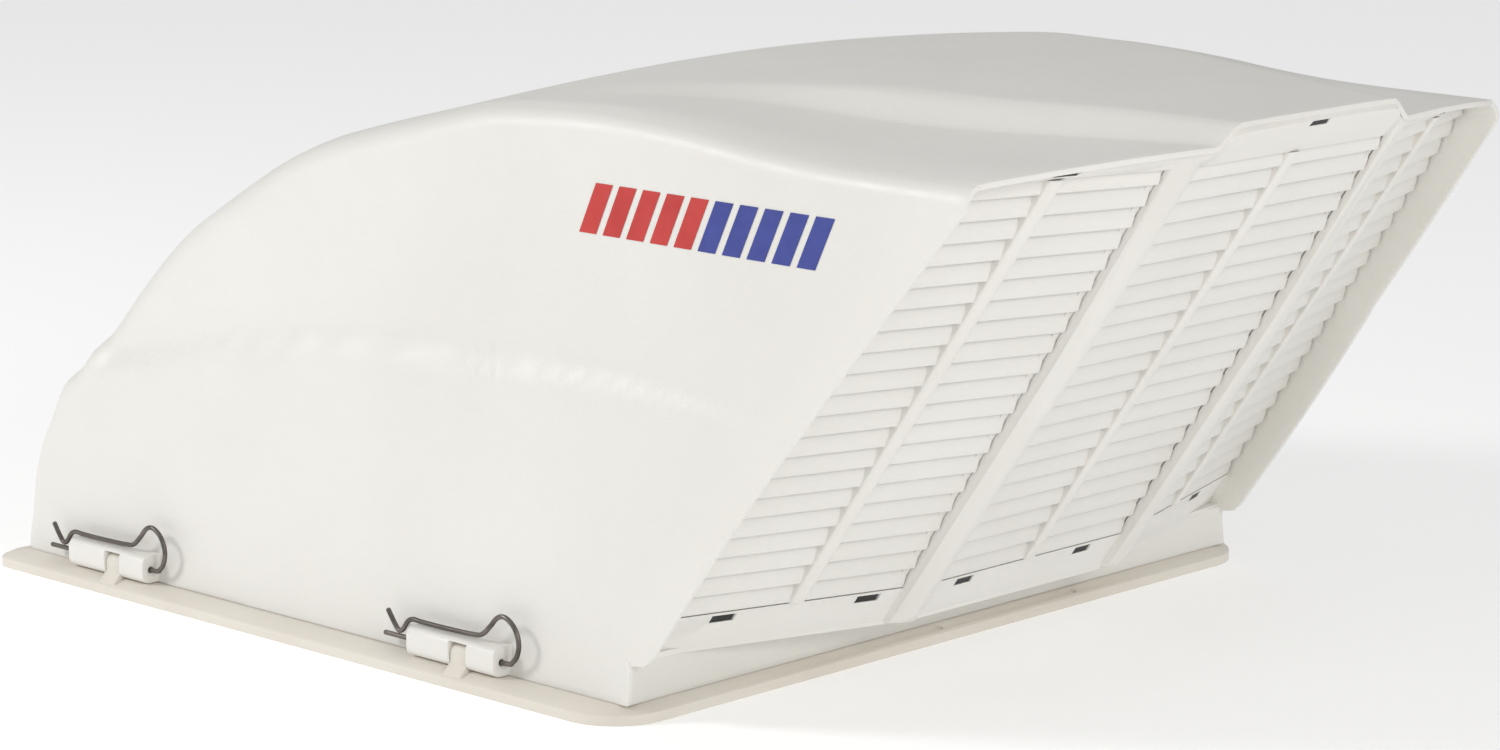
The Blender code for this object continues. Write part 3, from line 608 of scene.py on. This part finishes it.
# Where the skin's rows change spacing, as shares of the way along the hood, and the rows in each stretch.
ROW_MARKS = (0.0, NOSE_SHARE, 0.50, 0.53, 0.55, 0.57, 1.0)
ROW_COUNTS = (72, 3, 4, 4, 4, 56)
WALL_STEPS = 34
ARC_STEPS = 8
TOP_STEPS = (3, 14, 16)
# The plain bars on the near wall: bars of each colour, and their place and size.
MARK_BARS = 5
MARK_FROM_Y = 0.084
MARK_Z = (0.266, 0.294)
MARK_WIDTH = 0.0135
MARK_GAP = 0.005
MARK_SLANT = 0.010
MARK_PROUD = 0.0002
MARK_ROWS = 8
MARK_COLUMNS = 4
# Distance that the bottom band goes past the panels' ends into each side wall.
BAND_IN_WALL = -0.0035


def settle(obj, slot, body, node, bevel=0.0, smooth_angle=40.0):
    """Bake a piece's modifiers into its mesh, shade it, and hand it to the frame in its CAD node's place."""
    if bevel:
        edge = obj.modifiers.new("edges", "BEVEL")
        edge.width = bevel
        edge.segments = 2
        edge.limit_method = "ANGLE"
        edge.angle_limit = math.radians(BEVEL_FROM_DEGREES)
    depsgraph = bpy.context.evaluated_depsgraph_get()
    mesh = bpy.data.meshes.new_from_object(obj.evaluated_get(depsgraph))
    piece = bpy.data.objects.new(f"{obj.name}_fine", mesh)
    bpy.context.scene.collection.objects.link(piece)
    bpy.data.objects.remove(obj, do_unlink=True)
    mesh.materials.clear()
    mesh.materials.append(FINISHES[slot])
    mesh.shade_smooth()
    mesh.set_sharp_from_angle(angle=math.radians(smooth_angle))
    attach(piece, body)
    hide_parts(node)


def clear_tools():
    """Remove the cutters and added solids once they are baked into a piece."""
    for group in list(cutters_home.children):
        for tool in list(group.objects):
            bpy.data.objects.remove(tool, do_unlink=True)
        bpy.data.collections.remove(group)


def fine_flange():
    """The flange with round corners and a soft rim, its lugs, holes and bores."""
    flange = loft("base_flange", [rounded_rectangle(d, z) for d, z in FLANGE_SECTION], work, ring=True)
    combine(flange, [lug(side, y, cutters_home) for _, side in SIDES for _, y in STATIONS], "UNION")
    spots = [(x, FRONT_SCREW_Y) for x in FRONT_SCREW_X]
    spots += [(x, REAR_SCREW_Y) for x in REAR_SCREW_X]
    spots += [(side * SIDE_SCREW_X, y) for _, side in SIDES for y in SIDE_SCREW_Y]
    holes = [rod("hole", (x, y, FLANGE_TOP), SCREW_HOLE, HOLE_DEPTH, "Z", cutters_home, ROUND_SIDES)
             for x, y in spots]
    holes += [rod("bore", (side * PIN_X, y, PIN_Z), PIN_BORE, 2.0 * LUG_WIDTH, "Y", cutters_home, ROUND_SIDES)
              for _, side in SIDES for _, y in STATIONS]
    combine(flange, holes, "DIFFERENCE")
    settle(flange, "flange_plastic", "base", "base_flange", bevel=FLANGE_BEVEL)
    clear_tools()


def fine_hood():
    """The moulded hood as one fused skin, at a finer grain than its CAD node."""
    shares = [0.0]
    for start, end, count in zip(ROW_MARKS, ROW_MARKS[1:], ROW_COUNTS):
        shares += [start + (end - start) * i / count for i in range(1, count + 1)]
    sections = [hood_section(share, WALL_STEPS, ARC_STEPS, TOP_STEPS) for share in shares]
    hood = loft("hood_shell", sections, work, open_sheet=True)
    mirror = hood.modifiers.new("mirror", "MIRROR")
    mirror.merge_threshold = 0.0001
    shell = hood.modifiers.new("thickness", "SOLIDIFY")
    shell.thickness = SKIN
    shell.offset = -1.0
    shell.use_even_offset = True
    band_stops = ((-1.0, BAND_IN_WALL), -PANEL_EDGE_X, PANEL_EDGE_X, (1.0, BAND_IN_WALL))
    skirt_low = (-SKIRT_HALF_X, SKIRT_REAR - SKIN, TRIM_FROM)
    skirt_high = (SKIRT_HALF_X, SKIRT_REAR, SOFFIT + SKIN / 2.0)
    additions = [
        box("rear_skirt", skirt_low, skirt_high, cutters_home),
        soffit(cutters_home),
        rear_bar("bottom_band", band_stops, slab(-SKIN, 0.0, SOFFIT + 0.001, BAND_TOP), cutters_home),
        top_band(cutters_home),
    ]
    additions += [pillar(side, cutters_home) for _, side in SIDES]
    additions += [hinge_block(side, y, cutters_home) for _, side in SIDES for _, y in STATIONS]
    combine(hood, additions, "UNION")
    removals = windows(cutters_home)
    trim_high = (0.30, SKIRT_REAR + SKIN, HOOD_FOOT)
    removals.append(box("foot_trim", (-0.30, -0.42, -0.01), trim_high, cutters_home))
    removals += [notch(side, y, cutters_home) for _, side in SIDES for _, y in STATIONS]
    removals += [rod("bore", (side * PIN_X, y, PIN_Z), PIN_BORE, BORE_LENGTH, "Y", cutters_home, ROUND_SIDES)
                 for _, side in SIDES for _, y in STATIONS]
    combine(hood, removals, "DIFFERENCE")
    settle(hood, "hood_plastic", "hood", "hood_shell", bevel=HOOD_BEVEL)
    clear_tools()


def round_blade(index):
    """A blade's section with a rolled lower lip."""
    low = SLAT_FIRST + SLAT_PITCH * index
    rise = min(SLAT_HEIGHT, PANEL_Z[1] - low)
    lean = SLAT_LEAN * rise / SLAT_HEIGHT
    lip = SLAT_THICK / 2.0
    points = []
    for i in range(SLAT_LIP_STEPS + 1):
        angle = math.radians(-180.0 + 180.0 / SLAT_LIP_STEPS * i)
        points.append((-lip + lip * math.cos(angle), low + lip + lip * math.sin(angle)))
    points.append((-SLAT_BELLY * lean, low + 0.5 * rise))
    points.append((-lean, low + rise))
    points.append((-lean - SLAT_THICK, low + rise))
    points.append((-SLAT_BELLY * lean - SLAT_THICK, low + 0.5 * rise))
    return points


def fine_panel(name, inner, outer, mullion_x):
    """A louvred panel with rolled blades and a round middle bar."""
    low, high = PANEL_Z
    stiles = inset_stops(inner, outer, STILE)
    panel = rear_bar(name, (inner, stiles[0]), slab(*PANEL_DEPTH, low, high), work)
    bars = [
        rear_bar("stile", (stiles[1], outer), slab(*PANEL_DEPTH, low, high), cutters_home),
        rear_bar("rail", (inner, outer), slab(*PANEL_DEPTH, low, low + RAIL), cutters_home),
        rear_bar("rail", (inner, outer), slab(*PANEL_DEPTH, high - RAIL, high), cutters_home),
    ]
    rows = []
    for i in range(MULLION_STEPS + 1):
        across = math.cos(math.pi * i / MULLION_STEPS)
        round_up = (1.0 - MULLION_SHOULDER) * math.sqrt(1.0 - across ** 2)
        proud = MULLION_PROUD * (MULLION_SHOULDER + round_up)
        x = mullion_x - MULLION / 2.0 * across
        rows.append([rear_point(x, depth, z) for depth, z in slab(PANEL_DEPTH[0], proud, low, high)])
    bars.append(loft("mullion", rows, cutters_home))
    far_inset = SLAT_WALL_INSET if isinstance(outer, tuple) else SLAT_INSET
    blade = (inset_stops(inner, outer, SLAT_INSET)[0], inset_stops(inner, outer, far_inset)[1])
    bars += [rear_bar("slat", blade, round_blade(index), cutters_home) for index in range(SLATS)]
    combine(panel, bars, "UNION")
    settle(panel, "louvre_plastic", "hood", name)
    clear_tools()


def strand(bm, first, last):
    """A square strand between two rings of four (x, depth, z) corners."""
    ends = [[bm.verts.new(rear_point(*corner)) for corner in ring] for ring in (first, last)]
    for i in range(4):
        j = (i + 1) % 4
        bm.faces.new((ends[0][i], ends[0][j], ends[1][j], ends[1][i]))
    bm.faces.new(ends[0])
    bm.faces.new(ends[1])


def gauze(name, inner, outer):
    """Insect gauze: straight strands both ways, laid over each other."""
    half = STRAND_HALF
    corners = ((-1, -1), (1, -1), (1, 1), (-1, 1))
    inset = SCREEN_BORDER + GAP
    low = SCREEN_Z[0] + inset
    high = SCREEN_Z[1] - inset
    middle = sum(MESH_DEPTH) / 2.0
    by_wall = isinstance(outer, tuple)
    start, end = inset_stops(inner, outer, inset)

    def edge(z):
        """Where the gauze ends at a height, away from its inner edge."""
        return outer[0] * (wall_inside(z) - outer[1] - inset) if by_wall else end

    bm = bmesh.new()
    for k in range(int((high - low) / STRAND_PITCH) + 1):
        z = low + half + k * STRAND_PITCH
        level = [[(x, middle + d * half, z + h * half) for d, h in corners] for x in sorted((start, edge(z)))]
        strand(bm, *level)
    low_x, high_x = sorted((start, edge(low)))
    for k in range(int((high_x - low_x) / STRAND_PITCH)):
        x = low_x + half + k * STRAND_PITCH
        top = high
        while by_wall and abs(x) > abs(edge(top)) and top > low + STRAND_PITCH:
            top -= STRAND_PITCH
        depth = middle + STRAND_LIFT * half
        upright = [[(x + w * half, depth + d * half, z) for w, d in corners] for z in (low, top)]
        strand(bm, *upright)
    bmesh.ops.recalc_face_normals(bm, faces=bm.faces)
    settle(new_object(name, bm, work), "gauze", "hood", name)


def smooth_path(points):
    """Points along a smooth curve through the given ones."""
    path = []
    for i in range(len(points) - 1):
        before = points[max(i - 1, 0)]
        after = points[min(i + 2, len(points) - 1)]
        for k in range(WIRE_STEPS):
            t = k / WIRE_STEPS
            path.append(0.5 * (2.0 * points[i] + (points[i + 1] - before) * t
                               + (2.0 * before - 5.0 * points[i] + 4.0 * points[i + 1] - after) * t ** 2
                               + (3.0 * points[i] - before - 3.0 * points[i + 1] + after) * t ** 3))
    path.append(points[-1])
    return path


def fine_clip(name, side, station):
    """A spring clip as a smooth round wire with rounded tips."""
    points = [Vector((side * PIN_X, station + CLIP_TIP + back, PIN_Z + up)) for back, up in CLIP_SHAPE]
    path = smooth_path(points)
    last = len(path) - 1
    tip = len(TIP_RINGS) - 1
    across = Vector((1.0, 0.0, 0.0))
    rings = []
    for i, centre in enumerate(path):
        along = (path[min(i + 1, last)] - path[max(i - 1, 0)]).normalized()
        up = along.cross(across)
        spots = ((0.0, 1.0),)
        if i == 0:
            spots = [(TIP_SPACING * n, size) for n, size in enumerate(TIP_RINGS)]
        elif i == last:
            spots = [(TIP_SPACING * (n - tip), size) for n, size in enumerate(reversed(TIP_RINGS))]
        for shift, size in spots:
            middle = centre + along * shift * WIRE / 2.0
            angles = [2.0 * math.pi * k / WIRE_SIDES for k in range(WIRE_SIDES)]
            rings.append([middle + (across * math.cos(angle) + up * math.sin(angle)) * size * WIRE / 2.0
                          for angle in angles])
    settle(loft(name, rings, work), "clip_steel", name, name, smooth_angle=60.0)


def decal():
    """Plain red and blue slanted bars on the near wall, with no lettering."""
    for number, colour in enumerate(("mark_red", "mark_blue")):
        bm = bmesh.new()
        for k in range(number * MARK_BARS, (number + 1) * MARK_BARS):
            begin = MARK_FROM_Y + k * (MARK_WIDTH + MARK_GAP)
            grid = []
            for i in range(MARK_ROWS + 1):
                z = MARK_Z[0] + (MARK_Z[1] - MARK_Z[0]) * i / MARK_ROWS
                row = []
                for j in range(MARK_COLUMNS + 1):
                    y = begin + MARK_WIDTH * j / MARK_COLUMNS + MARK_SLANT * (i / MARK_ROWS)
                    row.append(bm.verts.new((half_width(y, z) + MARK_PROUD, y, z)))
                grid.append(row)
            for lower, upper in zip(grid, grid[1:]):
                for j in range(MARK_COLUMNS):
                    bm.faces.new((lower[j], lower[j + 1], upper[j + 1], upper[j]))
        obj = new_object(colour, bm, bpy.context.scene.collection)
        obj.data.materials.append(FINISHES[colour])
        obj.data.shade_smooth()
        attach(obj, "hood")


# ---- Materials ---------------------------------------------------------------------------------
def noise(nodes, links, coords, scale, detail, roughness=0.5):
    """A noise texture over the piece's own coordinates."""
    node = nodes.new("ShaderNodeTexNoise")
    node.inputs["Scale"].default_value = scale
    node.inputs["Detail"].default_value = detail
    node.inputs["Roughness"].default_value = roughness
    links.new(coords, node.inputs["Vector"])
    return node.outputs["Fac"]


def spread(nodes, links, value, low, high):
    """Map a noise value to a range."""
    node = nodes.new("ShaderNodeMapRange")
    node.inputs["From Min"].default_value = 0.3
    node.inputs["From Max"].default_value = 0.7
    node.inputs["To Min"].default_value = low
    node.inputs["To Max"].default_value = high
    links.new(value, node.inputs["Value"])
    return node.outputs["Result"]


def finish_material(name, dark, light, patch_scale, rough, grain_scale, grain_height, wave_height=0.0,
                    metallic=0.0, subsurface=0.0, stretch=(1.0, 1.0, 1.0)):
    """A Principled material with two-tone patches, uneven gloss, fine grain and a slow waviness."""
    mat = bpy.data.materials.new(name)
    mat.use_nodes = True
    nodes = mat.node_tree.nodes
    links = mat.node_tree.links
    shader = nodes["Principled BSDF"]
    place = nodes.new("ShaderNodeTexCoord")
    mapping = nodes.new("ShaderNodeMapping")
    mapping.inputs["Scale"].default_value = stretch
    links.new(place.outputs["Object"], mapping.inputs["Vector"])
    coords = mapping.outputs["Vector"]
    mix = nodes.new("ShaderNodeMix")
    mix.data_type = "RGBA"
    mix.inputs[6].default_value = (*dark, 1.0)
    mix.inputs[7].default_value = (*light, 1.0)
    links.new(spread(nodes, links, noise(nodes, links, coords, patch_scale, 5.0), 0.0, 1.0), mix.inputs[0])
    links.new(mix.outputs[2], shader.inputs["Base Color"])
    links.new(spread(nodes, links, noise(nodes, links, coords, patch_scale * 6.0, 4.0), *rough),
              shader.inputs["Roughness"])
    shader.inputs["Metallic"].default_value = metallic
    if subsurface:
        shader.inputs["Subsurface Weight"].default_value = subsurface
        shader.inputs["Subsurface Radius"].default_value = (1.0, 0.85, 0.65)
        shader.inputs["Subsurface Scale"].default_value = 0.006
    fine = nodes.new("ShaderNodeBump")
    fine.inputs["Strength"].default_value = 0.5
    fine.inputs["Distance"].default_value = grain_height
    links.new(noise(nodes, links, coords, grain_scale, 3.0, 0.6), fine.inputs["Height"])
    if wave_height:
        wave = nodes.new("ShaderNodeBump")
        wave.inputs["Strength"].default_value = 0.5
        wave.inputs["Distance"].default_value = wave_height
        links.new(noise(nodes, links, coords, 9.0, 1.5), wave.inputs["Height"])
        links.new(wave.outputs["Normal"], fine.inputs["Normal"])
    links.new(fine.outputs["Normal"], shader.inputs["Normal"])
    return mat


FINISHES = {
    "hood_plastic": finish_material(
        "hood_plastic", (0.785, 0.768, 0.722), (0.820, 0.806, 0.765), 7.0, (0.36, 0.48), 900.0, 0.0003,
        wave_height=0.0015, subsurface=0.12),
    "louvre_plastic": finish_material(
        "louvre_plastic", (0.785, 0.768, 0.722), (0.825, 0.810, 0.768), 12.0, (0.38, 0.50), 900.0, 0.0003,
        subsurface=0.12),
    # The flange is a darker, browner tan than the hood: painted shade, standing for the shade that falls on
    # its top under the hood; its two tones still vary at random.
    "flange_plastic": finish_material(
        "flange_plastic", (0.715, 0.665, 0.590), (0.775, 0.735, 0.665), 10.0, (0.42, 0.56), 700.0, 0.0004,
        wave_height=0.001, subsurface=0.08),
    "screen_plastic": finish_material(
        "screen_plastic", (0.010, 0.010, 0.011), (0.020, 0.020, 0.021), 60.0, (0.45, 0.62), 1600.0, 0.0003),
    "gauze": finish_material(
        "gauze", (0.014, 0.014, 0.015), (0.030, 0.030, 0.032), 90.0, (0.5, 0.7), 2500.0, 0.0001),
    "clip_steel": finish_material(
        "clip_steel", (0.090, 0.080, 0.070), (0.200, 0.180, 0.160), 120.0, (0.28, 0.42), 1800.0, 0.0001,
        metallic=0.9, stretch=(1.0, 0.15, 1.0)),
    "mark_red": finish_material(
        "mark_red", (0.50, 0.030, 0.026), (0.60, 0.045, 0.038), 40.0, (0.35, 0.5), 900.0, 0.0001),
    "mark_blue": finish_material(
        "mark_blue", (0.030, 0.045, 0.260), (0.045, 0.065, 0.330), 40.0, (0.35, 0.5), 900.0, 0.0001),
}


# ---- Setting -----------------------------------------------------------------------------------
def area_light(name, place, target, size, energy, colour=(1.0, 1.0, 1.0)):
    """A soft square light that looks at a point."""
    light = bpy.data.lights.new(name, "AREA")
    light.size = size
    light.energy = energy
    light.color = colour
    obj = bpy.data.objects.new(name, light)
    bpy.context.scene.collection.objects.link(obj)
    obj.location = place
    obj.rotation_mode = "QUATERNION"
    obj.rotation_quaternion = (Vector(target) - Vector(place)).to_track_quat("-Z", "Y")


def floor():
    """A plain pale floor, large enough to fill every view."""
    bm = bmesh.new()
    bmesh.ops.create_grid(bm, x_segments=8, y_segments=8, size=12.0)
    obj = new_object("floor", bm, bpy.context.scene.collection)
    mat = bpy.data.materials.new("floor")
    mat.use_nodes = True
    shader = mat.node_tree.nodes["Principled BSDF"]
    shader.inputs["Base Color"].default_value = (0.90, 0.90, 0.90, 1.0)
    shader.inputs["Roughness"].default_value = 0.85
    shader.inputs["Emission Color"].default_value = (1.0, 1.0, 1.0, 1.0)
    shader.inputs["Emission Strength"].default_value = 0.28
    obj.data.materials.append(mat)


def setting():
    """World, lights and the camera."""
    world = bpy.data.worlds.new("world")
    world.use_nodes = True
    background = world.node_tree.nodes["Background"]
    background.inputs["Color"].default_value = (1.0, 1.0, 1.0, 1.0)
    background.inputs["Strength"].default_value = 0.52
    bpy.context.scene.world = world
    bpy.context.scene.view_settings.view_transform = "Standard"
    area_light("key", (2.2, -1.7, 1.75), (0.0, -0.05, 0.15), 0.7, 33.0)
    area_light("rear", (1.0, 2.8, 1.3), (0.0, 0.2, 0.15), 0.7, 22.0, (1.0, 0.99, 0.97))
    camera = bpy.data.cameras.new("camera")
    camera.lens = 102.25
    camera.sensor_width = 36.0
    camera.clip_start = 0.05
    obj = bpy.data.objects.new("camera", camera)
    bpy.context.scene.collection.objects.link(obj)
    right = Vector((-0.68904, 0.72472, 0.00239))
    up = Vector((-0.13906, -0.13545, 0.98098))
    back = Vector((0.71125, 0.67560, 0.19411))
    turn = Matrix((right, up, back)).transposed().to_4x4()
    obj.matrix_world = Matrix.Translation((1.8705, 1.7584, 0.6465)) @ turn
    bpy.context.scene.camera = obj


work = bpy.data.collections.new("work")
cutters_home = bpy.data.collections.new("cutters_home")
for home in (work, cutters_home):
    bpy.context.scene.collection.children.link(home)

fine_flange()
fine_hood()
# Each panel and screen: its inner stop, its outer stop, and for a panel its middle bar.
PANELS = (("centre", -0.090, 0.090, 0.0), ("left", 0.101, (1.0, 0.0), MULLION_X),
          ("right", -0.101, (-1.0, 0.0), -MULLION_X))
SCREENS = (("centre", -0.084, 0.084), ("left", 0.108, (1.0, 0.004)), ("right", -0.108, (-1.0, 0.004)))
for part_name, inner_x, outer_stop, bar_x in PANELS:
    fine_panel(f"louvre_panel_{part_name}", inner_x, outer_stop, bar_x)
for part_name, inner_x, outer_stop in SCREENS:
    gauze(f"screen_mesh_{part_name}", inner_x, outer_stop)
    node = frame["nodes"][f"screen_frame_{part_name}"]
    node.data.materials.clear()
    node.data.materials.append(FINISHES["screen_plastic"])
for side_name, side_sign in SIDES:
    for station_name, station_y in STATIONS:
        fine_clip(f"clip_{side_name}_{station_name}", side_sign, station_y)
decal()
floor()
setting()
